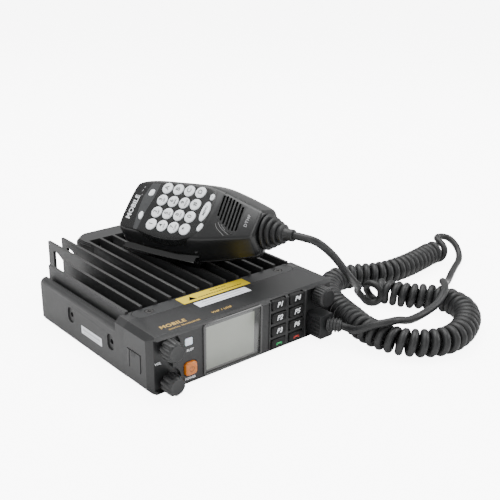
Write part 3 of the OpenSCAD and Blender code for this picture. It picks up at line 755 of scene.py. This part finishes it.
# A handset sign, each bar with its width, height, corner, and place across and up.
HANDSET = ((4.6, 1.0, 0.45, 0, 0.35), (1.3, 1.3, 0.4, -1.75, -0.1), (1.3, 1.3, 0.4, 1.75, -0.1))
for node in PLAIN_KEYS + list(CALL_INKS):
    x, z, proud = axis_of(node)
    outline = rounded(11.6, 6.4, 1.9, 7)
    cap = loft([
        (outline, -3.2), (outline, 0.4), (inset(outline, 0.2), proud - 0.35),
        (inset(outline, 0.55), proud - 0.08), (inset(outline, 1.0), proud)])
    show(moved(cap, x, z), node + "_cap", node, key_skin, FRONT, node=node)
    mark = node + "_mark"
    if node in PLAIN_KEYS:
        word = node[-2:].upper()
        letters(word, 4.4, mark, node, white_ink, FRONT, x, z, proud + 0.03, 0.25, 0.13, 1.05)
    else:
        sign = joined([moved(slab(rounded(w, h, r, 3), 0, 0.06, 0.03), u, v) for w, h, r, u, v in HANDSET])
        show(moved(sign, x, z, proud + 0.02), mark, node, CALL_INKS[node], FRONT)

# Display: a raised rim and the pane inside it.
x, z, _ = axis_of("display_lens")
rim_out = rounded(44.2, 33.0, 1.8)
rim_in = rounded(41.4, 30.6, 1.0)
rim = loft([
    (rim_out, -0.3), (rim_out, 0.55), (inset(rim_out, 0.35), 0.9), (inset(rim_in, -0.3), 0.9), (rim_in, 0.5),
    (rim_in, -0.7)], bottom=False, top=False)
show(moved(rim, x, z), "display_rim", "unit", rim_skin, FRONT)
pane = slab(rounded(41.8, 31.0, 1.2), -0.85, -0.05, 0.15)
show(moved(pane, x, z), "display_pane", "unit", pane_skin, FRONT, node="display_lens")

x, z, _ = axis_of("indicator_lens")
window = moved(slab(rounded(5.2, 4.6, 0.9), -2, 0.25, 0.3), x, z)
show(window, "indicator_window", "unit", indicator_skin, FRONT, node="indicator_lens")
letters("BUSY", 2.1, "busy_mark", "unit", white_ink, FRONT, x + 0.9, z - 5.4, 0.01, 0, 0.04)

x, z, proud = axis_of("power_button")
outline = rounded(8.4, 8.4, 2.3)
cap = loft([
    (outline, -3.2), (outline, 0.7), (inset(outline, 0.35), proud - 0.3), (inset(outline, 1.0), proud),
    (inset(outline, 2.2), proud + 0.05)])
show(moved(cap, x, z), "power_cap", "power_button", amber_skin, FRONT, node="power_button")
RING_R = 1.55
ring = []
for degrees in range(35, 326, 15):
    a = math.radians(degrees)
    ring.append(Vector((RING_R * math.sin(a), RING_R * math.cos(a))))
arc = [p * 1.13 for p in ring] + [p * 0.87 for p in reversed(ring)]
symbol = joined([plate(arc, 0, 0.05), moved(plate(rounded(0.42, 1.9, 0.2, 3), 0, 0.05), 0, 1.1)])
show(moved(symbol, x, z, proud + 0.06), "power_symbol", "power_button", deep_amber_ink, FRONT)
letters("POWER", 2.1, "power_mark", "unit", white_ink, FRONT, x, z - 6.4, 0.01, 0, 0.04)
letters("VOL", 2.2, "volume_mark", "unit", white_ink, FRONT, -65.2, 18.4, -2.18, 0, 0.04)
HEAD_TOP = Matrix.Translation((0, 0, TOP_Z * MM))
letters("MOBILE", 4.8, "top_mark", "unit", gold_ink, HEAD_TOP, -49.5, -75.6, 0.02, 0.15, 0.14, 1.1)
letters(
    "DIGITAL TRANSCEIVER", 2.0, "top_line", "unit", gold_ink, HEAD_TOP, -44.5, -80.1, 0.02, 0.2, 0.03, 1.05)
letters("VHF / UHF", 3.0, "band_mark", "unit", gold_ink, HEAD_TOP, -16, -77.6, 0.02, 0.2, 0.06, 1.1)


# ---- Labels ----

def label(name, w, h, skin, place, x, y, bars, ink_skin, r=0.4):
    """A thin sticker and its print."""
    show(moved(plate(rounded(w, h, r, 3), 0, 0.08), x, y), name, "unit", skin, place)
    printed = strokes([(bx, by, bw, bh, 0) for bx, by, bw, bh in bars], 0.1)
    show(moved(printed, x, y), name + "_print", "unit", ink_skin, place)


def print_line(first, last, pitch, height, width, tall, start=0.0):
    """Bars that stand for one line of small print."""
    return [(start + pitch * k, height, width, tall) for k in range(first, last)]


TOP = Matrix.Translation((0, 0, (TOP_Z + 0.02) * MM))
label(
    "yellow_label", 51.3, 9.4, yellow_ink, TOP, -3.3, -53.8,
    print_line(-2, 4, 2.1, 2.0, 1.7, 0.9, 3.5) + print_line(-8, 9, 2.0, -1.6, 1.6, 1.0, 3.5), black_ink)
warning = closed_curve([(0, 2.6), (-2.9, -2.0), (2.9, -2.0)], 1)
hole = [p * 0.72 for p in warning]
sign = joined([
    loft([(warning, 0.08), (warning, 0.11), (hole, 0.11), (hole, 0.08)], False, False),
    strokes([(0, -0.1, 0.5, 1.8, 0)], 0.11)])
show(moved(sign, -20.5, -54.1), "yellow_label_sign", "unit", black_ink, TOP)
label(
    "white_label", 39.5, 7.0, paper, TOP, -4.3, -64,
    print_line(-16, 17, 0.9, 1.4, 0.5, 1.2) + print_line(-12, 13, 1.2, -1.6, 0.9, 0.7), grey_ink)
label(
    "side_label", 24, 5.2, paper, LEFT, 19.5, 12.2,
    print_line(-14, 15, 0.7, 0.4, 0.3, 1.6) + print_line(-8, 9, 1.1, -1.6, 0.8, 0.5), grey_ink)
rivet = revolve([(0, 0.9), (0.9, 0.7), (1.3, 0.2), (1.4, 0)], 20)
show(moved(rivet, -64.6, 4.5, 25.5), "channel_rivet", "unit", steel)


# ---- Rear ----

SOCKET_LENGTH = 16
x = sum(c.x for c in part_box("antenna_socket")) / 2 / MM
z = sum(c.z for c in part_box("antenna_socket")) / 2 / MM
wall_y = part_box("antenna_socket")[1].y / MM - SOCKET_LENGTH
REAR = Matrix.Translation((x * MM, wall_y * MM, z * MM)) @ Matrix.Rotation(math.radians(-90), 4, "X")
thread = [(7.94 - 0.35 * (k % 2), 3.0 + 0.5 * k) for k in range(25)]
socket = joined([
    revolve([(6.4, -4.8), (6.9, -4.8), (6.9, 0.1), (9.2, 0.1), (9.2, 2.0), (8.9, 2.4), (7.6, 2.4)] + thread
        + [(7.4, 15.9), (6.2, 16), (6.1, 15.6), (6.1, 6.2), (0, 6.2)], 64),
    revolve([(3, 6), (3, 13.8), (2.8, 14), (2.2, 14), (2.05, 13.7), (2.05, 8), (0, 8)], 32)])
show(socket, "antenna_connector", "unit", nickel, REAR, node="antenna_socket")


# ---- Hand microphone ----

FACE = closed_curve([
    (-41.3, -8), (-40.6, -16.5), (-38, -19.2), (-24, -20), (0, -20.4), (22, -19.6), (40, -16.8), (60, -13),
    (64, -11.5), (65, -8), (65, 4), (63.5, 7), (60, 8.2), (40, 14.2), (22, 19.4), (0, 20), (-24, 19.3),
    (-37.5, 16.8), (-40.6, 13), (-41.3, 5)])
SPLIT = closed_curve([
    (-43, -9), (-42.3, -18.5), (-39, -24), (-24, -27.5), (0, -29), (22, -28.4), (40, -24.5), (60, -18.7),
    (64.5, -16.6), (66, -12), (66, 9), (64.5, 13.8), (60, 16.4), (40, 22.6), (22, 26.6), (0, 27), (-24, 25.5),
    (-38, 22.5), (-42.3, 17), (-43, 8)])
WAIST = closed_curve([
    (-37, -7), (-36.4, -13), (-33.5, -17.2), (-20, -20.5), (0, -21.4), (22, -21.2), (38, -18.8), (54, -14.6),
    (59, -12.6), (61, -9), (61, 7), (59, 10.6), (54, 12.6), (38, 16.8), (22, 19.2), (0, 19.4), (-20, 18.5),
    (-33, 15.4), (-36.4, 11), (-37, 5)])
BACK = closed_curve([
    (-28.5, -5), (-28, -8), (-26, -10), (-14, -12), (0, -12.6), (20, -12.6), (34, -11.6), (46, -9.6),
    (50.5, -8.2), (52, -6), (52, 4), (50.5, 6.2), (46, 7.6), (34, 9.6), (20, 10.6), (0, 10.6), (-14, 10),
    (-25.5, 8), (-28, 6), (-28.5, 3)])


# The keypad's own raised panel, which bulges over the near edge.
CREST = closed_curve([
    (-40.4, -15), (-38, -18.4), (-24.7, -19.4), (-10.4, -21.8), (3.6, -22.3), (14.4, -20.8), (21.5, -17.6),
    (24.6, -13.4), (26.8, -6.5), (27.6, 6), (26.8, 12), (22, 18.6), (0, 19.2), (-24, 18.5), (-37, 16),
    (-40.2, 12), (-41, 0)])
BULGE = closed_curve([
    (-41.2, -15), (-38.8, -19.6), (-25.2, -20.8), (-11, -24.0), (3.6, -25.0), (15, -23.2), (22.6, -19.4),
    (25.4, -14.4), (27.4, -6.8), (28.2, 6), (27.4, 12.6), (22.6, 20.0), (0, 21.0), (-24, 20.2), (-37.8, 17.4),
    (-41, 12.6), (-41.8, 0)])


def shrunk(outline, share):
    """The outline drawn in towards its middle."""
    middle = sum(outline, Vector((0, 0))) / len(outline)
    return [middle + (p - middle) * share for p in outline]


def between(a, b, share):
    """An outline between two others of as many points."""
    return [p.lerp(q, share) for p, q in zip(a, b)]


front_shell = loft([
    (inset(SPLIT, 0.5), -13.95), (SPLIT, -13.6), (SPLIT, -13), (between(FACE, SPLIT, 0.72), -9.2),
    (between(FACE, SPLIT, 0.35), -4.8), (between(FACE, SPLIT, 0.08), -1.4), (inset(FACE, 0.25), -0.6),
    (inset(FACE, 0.9), -0.15), (inset(FACE, 1.8), 0)])
back_shell = loft([
    (inset(BACK, 1.6), -33.9), (inset(BACK, 0.6), -33.5), (BACK, -32.6), (between(BACK, WAIST, 0.55), -29.4),
    (WAIST, -25), (between(WAIST, SPLIT, 0.62), -20), (between(WAIST, SPLIT, 0.94), -16.2), (SPLIT, -15),
    (SPLIT, -14.4), (inset(SPLIT, 0.5), -14.05)])
TALK_SLOT = [Vector(p) for p in ((-42, -40), (24.2, -40), (24.2, -23.6), (-42, -22.6))]
KEY_PITCH = 9.25


def talk_slot():
    """The space cut for the talk bar."""
    return plate(TALK_SLOT, -18.4, -9.2)


def dial_spots():
    """Each dialling key's node, legend and place."""
    rows = (
        (("dial_1", "1", ""), ("dial_2", "2", "ABC"), ("dial_3", "3", "DEF"), ("dial_a", "A", "")),
        (("dial_4", "4", "GHI"), ("dial_5", "5", "JKL"), ("dial_6", "6", "MNO"), ("dial_b", "B", "")),
        (("dial_7", "7", "PQRS"), ("dial_8", "8", "TUV"), ("dial_9", "9", "WXYZ"), ("dial_c", "C", "")),
        (("dial_star", "*", ""), ("dial_0", "0", ""), ("dial_hash", "#", ""), ("dial_d", "D", "")))
    for i, row in enumerate(rows):
        for j, (node, sign, small) in enumerate(row):
            yield node, sign, small, KEY_PITCH * (i - 1.5), KEY_PITCH * (j - 1.5)


SIDE_KEYS = {
    "mic_key_wide": [
        (20.9, 4), (20.7, -2.6), (22.3, -6.2), (24.6, -5.6), (26.4, -0.5), (26.4, 4), (24.8, 7.3),
        (22.6, 7.6)],
    "mic_key_upper": [(22.8, 11.2), (23.2, 13.4), (25.2, 13.6), (26, 11.8), (25.6, 9.6), (23.6, 9.4)],
    "mic_key_lower": [(22.9, -11.4), (24.3, -8.2), (26, -8.4), (26.6, -10.4), (25.2, -13.4), (23.6, -13.4)],
    "mic_key_lock": [(-27, 6.9), (-26.5, 11), (-23.5, 11.2), (-23.4, 7.2)],
    "mic_key_light": [(-26, -11.4), (-27.6, -8.4), (-25.9, -5.6), (-24, -8), (-24.2, -11.2)],
}


def pin(radius, low, high, steps=32):
    """A round bar that stands on its end."""
    return revolve([(0, low), (radius, low), (radius, high), (0, high)], steps)


def side_hole(node, low, high):
    """The space round one of the further keys."""
    return plate(inset(closed_curve(SIDE_KEYS[node], 4), -0.3), low, high)


def key_holes():
    """The space round every key of the microphone."""
    holes = [moved(pin(4.4, -3, 3), u, v) for _, _, _, u, v in dial_spots()]
    return joined(holes + [side_hole(node, -3, 3) for node in SIDE_KEYS])


# The shell is parted across, so that the cuts into it stay clean.
for u in (-30, -15, 0, 15, 28, 55):
    everything = front_shell.verts[:] + front_shell.edges[:] + front_shell.faces[:]
    bmesh.ops.bisect_plane(front_shell, geom=everything, plane_co=(u, 0, 0), plane_no=(1, 0, 0))
shell = show(front_shell, "mic_front_shell", "mic", mic_skin, MIC, node="mic_front")
carved(shell, plate(shrunk(CREST, 0.95), -3, 3), MIC)
carved(shell, talk_slot(), MIC)
SLOTS = (
    (33.6, 14.2, -1.0), (36.5, 14.0, -3.8), (39.4, 13.2, -5.9), (42.3, 12.2, -7.6), (45.2, 11.0, -9.2),
    (48.0, 9.8, -9.8), (50.7, 7.9, -9.4))
DOTS = ((32.6, 16.2), (36.0, 16.4), (39.6, 15.6), (43.0, 14.6), (46.2, 13.4), (49.2, 12.0))
grille = [moved(plate(rounded(1.5, a - b, 0.7, 4), -2.6, 3), u, (a + b) / 2, 0, 5) for u, a, b in SLOTS]
grille += [moved(pin(0.55, -1.5, 3, 12), u, v) for u, v in DOTS]
carved(shell, joined(grille), MIC)
lower = show(back_shell, "mic_back_shell", "mic", mic_skin, MIC, node="mic_back")
carved(lower, talk_slot(), MIC)
carved(lower, joined([moved(pin(2.6, -40, -25.6), u, -1) for u in (-30, 46)]), MIC)
softened("ptt_bar", 0.6, "ptt_bar", talk_skin)

bib = loft([
    (shrunk(BULGE, 0.84), -7.0), (shrunk(BULGE, 0.97), -4.7), (BULGE, -3.9),
    (between(BULGE, CREST, 0.85), -0.3), (CREST, 0.15), (shrunk(CREST, 0.97), 0.32),
    (shrunk(CREST, 0.92), 0.36)])
carved(show(bib, "keypad_panel", "mic", bib_skin, MIC), key_holes(), MIC)

DIAL_CAP = [
    (0, -3), (4.05, -3), (4.1, -2.6), (4.1, 0.35), (3.95, 0.7), (3.5, 0.88), (2.2, 0.95), (0, 0.97)]
for node, sign, small, u, v in dial_spots():
    cap = moved(revolve(DIAL_CAP, 32), u, v)
    show(cap, node + "_cap", node, dial_skin, MIC, node=node)
    size, rise = (4.0, 0.85) if small else (4.8, 0.0)
    letters(sign, size, node + "_sign", node, black_ink, MIC_TEXT, v, -u + rise, 0.98, 0.1, 0.08)
    if small:
        letters(small, 1.75, node + "_small", node, black_ink, MIC_TEXT, v, -u - 1.95, 0.97, 0.0, 0.05)

for node, corners in SIDE_KEYS.items():
    outline = closed_curve(corners, 4)
    cap = loft([(outline, -3), (outline, 0.5), (inset(outline, 0.2), 0.8), (inset(outline, 0.6), 0.9)])
    show(cap, node + "_cap", node, dial_skin, MIC, node=node)
letters("MENU", 2.6, "menu_sign", "mic_key_wide", black_ink, MIC_TEXT, 0.9, -23.6, 0.93, 0.2, 0.06)
letters("MOBILE", 5.2, "mic_word", "mic", silver_ink, MIC_TEXT, -3.5, 35.4, 0.4, 0.15, 0.16, 1.05)
letters("DTMF", 3.2, "mic_type", "mic", grey_ink, MIC_TEXT, -1.5, -57.0, 0.03, 0.15, 0.05, 1.1)
letters("#", 1.8, "mic_key_upper_sign", "mic_key_upper", black_ink, MIC_TEXT, 11.6, -24.4, 0.92)
letters("*", 1.8, "mic_key_lower_sign", "mic_key_lower", black_ink, MIC_TEXT, -10.8, -24.9, 0.92)

# Pale band beside the keypad, and the small moulded lines by the grille.
BAND = [Vector(p) for p in (
    (-30.6, 6.0), (-27.8, 16.4), (-20.8, 16.6), (-21.4, 5), (-23.2, -5.5), (-23.6, -19.4), (-27.2, -19.0),
    (-30.0, -3.4))]
band = show(plate(BAND, 0.2, 0.42), "keypad_band", "mic", band_skin, MIC)
carved(band, joined([side_hole(node, -1, 2) for node in ("mic_key_lock", "mic_key_light")]), MIC)
marks = strokes([(-33.6, 9.8, 1.6, 0.5, 60), (-33.0, 12.6, 1.2, 0.5, 60), (-32.6, 6.4, 1.0, 0.5, 60)], 0.04)
show(marks, "lamp_marks", "mic", grey_ink, MIC @ Matrix.Translation((0, 0, 0.36 * MM)))


def ridge(points, r, name, body="mic"):
    """A thin raised line on the microphone."""
    line = [MIC @ (Vector(p) * MM) for p in points]
    return dress(swept(smooth_line(line, 1.0 * MM), r * MM, name, 1), name, body, talk_skin)


ridge([
    (-37.4, -27.4, -13.4), (-37.3, -28.3, -10.8), (-35.6, -28.9, -9.95), (-22, -29.7, -9.95),
    (-8, -30.5, -9.95), (8, -31.0, -9.95), (21.4, -31.4, -9.95), (23.3, -31.0, -10.8),
    (23.5, -30.4, -13.0)], 0.4, "talk_bar_edge", "ptt_bar")
ridge([(34.6, -6.4, 0.02), (37.4, -9.6, 0.02), (44.4, -13.9, -0.05)], 0.28, "grille_line_a")
ridge([(36.4, -5.4, 0.02), (40.0, -8.9, 0.02), (47.4, -12.8, -0.02)], 0.28, "grille_line_b")
ridge([(39.2, -6.6, 0.02), (43.6, -9.9, 0.02), (50.0, -12.2, 0.0)], 0.28, "grille_line_c")

BOOT = MIC @ Matrix.Translation((0, -1 * MM, -12 * MM)) @ Matrix.Rotation(math.radians(90), 4, "Y")
bellows = [
    (0, 60), (5.5, 60), (5.5, 66.4), (10.9, 66.4), (11.4, 66.8), (11.4, 68.0), (10.9, 68.4), (8.2, 68.5),
    (8.0, 69.7), (9.2, 69.9), (9.6, 70.3), (9.6, 71.4), (9.1, 71.8), (6.7, 71.9), (6.5, 73.1), (7.4, 73.2),
    (7.8, 73.6),
    (7.8, 74.8), (7.3, 75.2), (5.3, 75.3), (5.2, 76.5), (5.8, 76.6), (6.2, 77.0), (6.2, 78.1), (5.7, 78.5),
    (4.3, 78.7), (3.9, 79.6), (3.8, 84.6), (3.5, 85), (2.4, 85), (2.4, 84), (0, 84)]
show(revolve(bellows, 64), "cord_boot", "mic", jacket, BOOT, node="mic_boot")

# Ribs on the plug's sides and its strain relief.
PLUG_SIDE = (
    Matrix.Translation((48.05 * MM, 0, 0))
    @ Matrix.Rotation(math.radians(-90), 4, "Z")
    @ Matrix.Rotation(math.radians(90), 4, "X")
)
ribs = [moved(slab(rounded(8.2, 0.8, 0.3, 2), -0.2, 0.5, 0.2), 90.6, 4.2 + 2.5 * k) for k in range(5)]
plug_ribs = show(joined(ribs), "plug_ribs", "unit", plug_skin, PLUG_SIDE)
RELIEF = (
    Matrix.Translation(Vector((55, -95.1, 10.6)) * MM)
    @ Matrix.Rotation(math.radians(34), 4, "Z")
    @ Matrix.Rotation(math.radians(90), 4, "X")
)
collar = [(3.2, 0.4)]
for k in range(4):
    at = 0.8 + 2.0 * k
    r = 4.9 - 0.16 * k
    collar += [(r - 1.0, at), (r, at + 0.3), (r, at + 1.0), (r - 1.0, at + 1.3)]
collar += [(3.2, 9.0), (2.4, 9.1)]
relief = show(revolve(collar, 40), "plug_relief", "unit", plug_skin, RELIEF)


# ---- Floor and light ----

BACKDROP_GLOW = 7.0
floor_shape = bmesh.new()
bmesh.ops.create_grid(floor_shape, x_segments=1, y_segments=1, size=6.0)
floor_skin = Finish("floor", Roughness=0.9, Specular_IOR_Level=0.0)
floor_skin.shader.inputs["Base Color"].default_value = (0.9, 0.9, 0.9, 1)
floor_skin.shader.inputs["Emission Color"].default_value = (1, 1, 1, 1)
# The floor and the world are brighter to the camera than to the object, for a plain white background.
seen = floor_skin.node("ShaderNodeLightPath", {}, {}, "Is Camera Ray")
floor_skin.feed(Emission_Strength=seen * BACKDROP_GLOW + 0.1)
bmesh.ops.scale(floor_shape, vec=(1 / MM,) * 3, verts=floor_shape.verts)
floor = show(floor_shape, "floor", None, floor_skin.material)

world = bpy.data.worlds.new("studio")
bpy.context.scene.world = world
world.use_nodes = True
backdrop = world.node_tree.nodes["Background"]
backdrop.inputs["Color"].default_value = (1, 1, 1, 1)
sight = world.node_tree.nodes.new("ShaderNodeLightPath")
glow = world.node_tree.nodes.new("ShaderNodeMath")
glow.operation = "MULTIPLY_ADD"
glow.inputs[1].default_value = BACKDROP_GLOW
glow.inputs[2].default_value = 0.8
world.node_tree.links.new(sight.outputs["Is Camera Ray"], glow.inputs[0])
world.node_tree.links.new(glow.outputs[0], backdrop.inputs["Strength"])


def softbox(name, place, aim, size, power):
    """A rectangular light that faces a point."""
    light = bpy.data.objects.new(name, bpy.data.lights.new(name, "AREA"))
    bpy.context.collection.objects.link(light)
    light.data.shape = "RECTANGLE"
    light.data.size, light.data.size_y = size
    light.data.energy = power
    light.location = place
    light.rotation_euler = (Vector(aim) - Vector(place)).to_track_quat("-Z", "Y").to_euler()


softbox("overhead", (0.1, 0.25, 1.1), (0.02, 0, 0), (1.2, 1.0), 24)
softbox("left", (-0.9, -0.5, 0.6), (0, 0, 0.03), (0.7, 0.7), 5)
softbox("right", (0.9, -0.7, 0.7), (0.05, -0.05, 0.03), (0.6, 0.8), 10)
